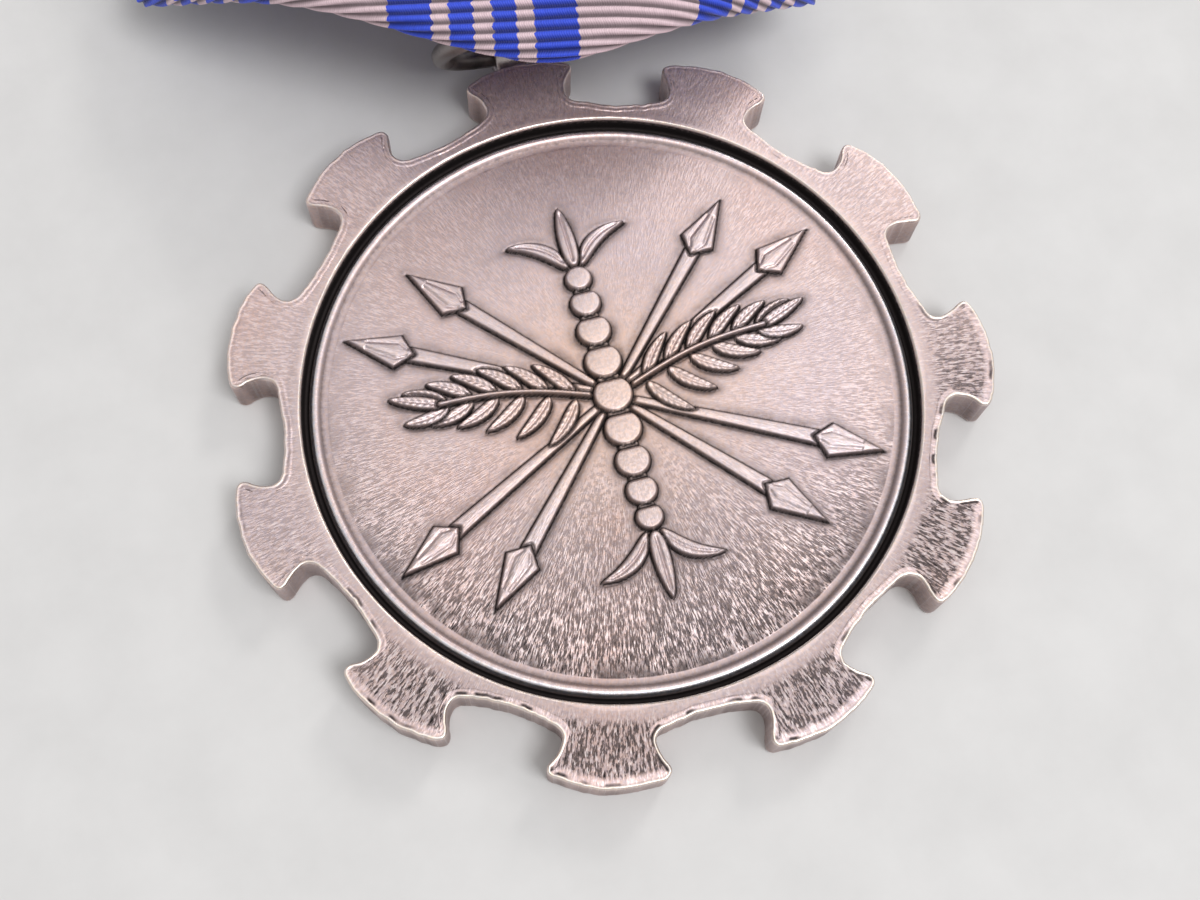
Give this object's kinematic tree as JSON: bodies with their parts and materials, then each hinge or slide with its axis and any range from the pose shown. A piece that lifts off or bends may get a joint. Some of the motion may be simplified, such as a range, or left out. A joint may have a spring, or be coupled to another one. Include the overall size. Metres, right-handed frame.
{
  "type": "military service medal",
  "caption": "Lobed struck disc medal with relief emblem, hung by a wire ring and a tape loop from a striped folded ribbon drape with a pin brooch and safety catch on the back.",
  "frame": {"origin": "centre of the disc on its flat reverse face, where the medal rests when it lies face up", "axes": "+Z out of the obverse, +Y from the disc towards the ribbon and the brooch, +X to the wearer-side right seen from the front; the rest pose is the medal lying face up with the ring leaning back under the ribbon's folded tip and the ribbon hanging 11 degrees askew"},
  "size_m": [0.0409, 0.0783, 0.0104],
  "materials": {
    "antique_silver": "satin",
    "ring_silver": "satin",
    "ribbon": "matte",
    "tape": "matte",
    "thread": "matte",
    "brooch_metal": "satin",
    "pin_steel": "polished"
  },
  "bodies": {
    "medal": {"planchet": "antique_silver", "suspension_lug": "antique_silver"},
    "ring": {"suspension_ring": "ring_silver"},
    "drape": {"ribbon_drape": "ribbon", "ring_loop": "tape"},
    "brooch": {"ribbon_sleeve": "ribbon", "ribbon_stitching": "thread", "brooch_bar": "brooch_metal", "brooch_plate": "brooch_metal", "brooch_rivets": "brooch_metal", "hinge_bracket": "brooch_metal", "hinge_rivet": "pin_steel", "catch_body": "brooch_metal"},
    "pin": {"pin_stem": "pin_steel"},
    "rotor": {"catch_rotor": "brooch_metal"}
  },
  "joints": [
    {"name": "ring_tilt", "type": "hinge", "parent": "medal", "child": "ring", "pos_m": [0, 0.01875, 0.0013], "axis": [-1, 0, 0], "range_deg": [-12, 150]},
    {"name": "tip_pivot", "type": "hinge", "parent": "ring", "child": "drape", "pos_m": [0, 0.016, 0.00774], "axis": [1, 0, 0], "range_deg": [-12, 108]},
    {"name": "drape_bend", "type": "hinge", "parent": "drape", "child": "brooch", "pos_m": [0.0052, 0.05135, 0.00645], "axis": [0.9816, -0.1908, 0], "range_deg": [-75, 75]},
    {"name": "pin_swing", "type": "hinge", "parent": "brooch", "child": "pin", "pos_m": [-0.00725, 0.05805, 0.00195], "axis": [0.1908, 0.9816, 0], "range_deg": [0, 110]},
    {"name": "catch_turn", "type": "hinge", "parent": "brooch", "child": "rotor", "pos_m": [0.01876, 0.05299, 0.00195], "axis": [-0.9816, 0.1908, 0], "range_deg": [0, 110]}
  ]
}
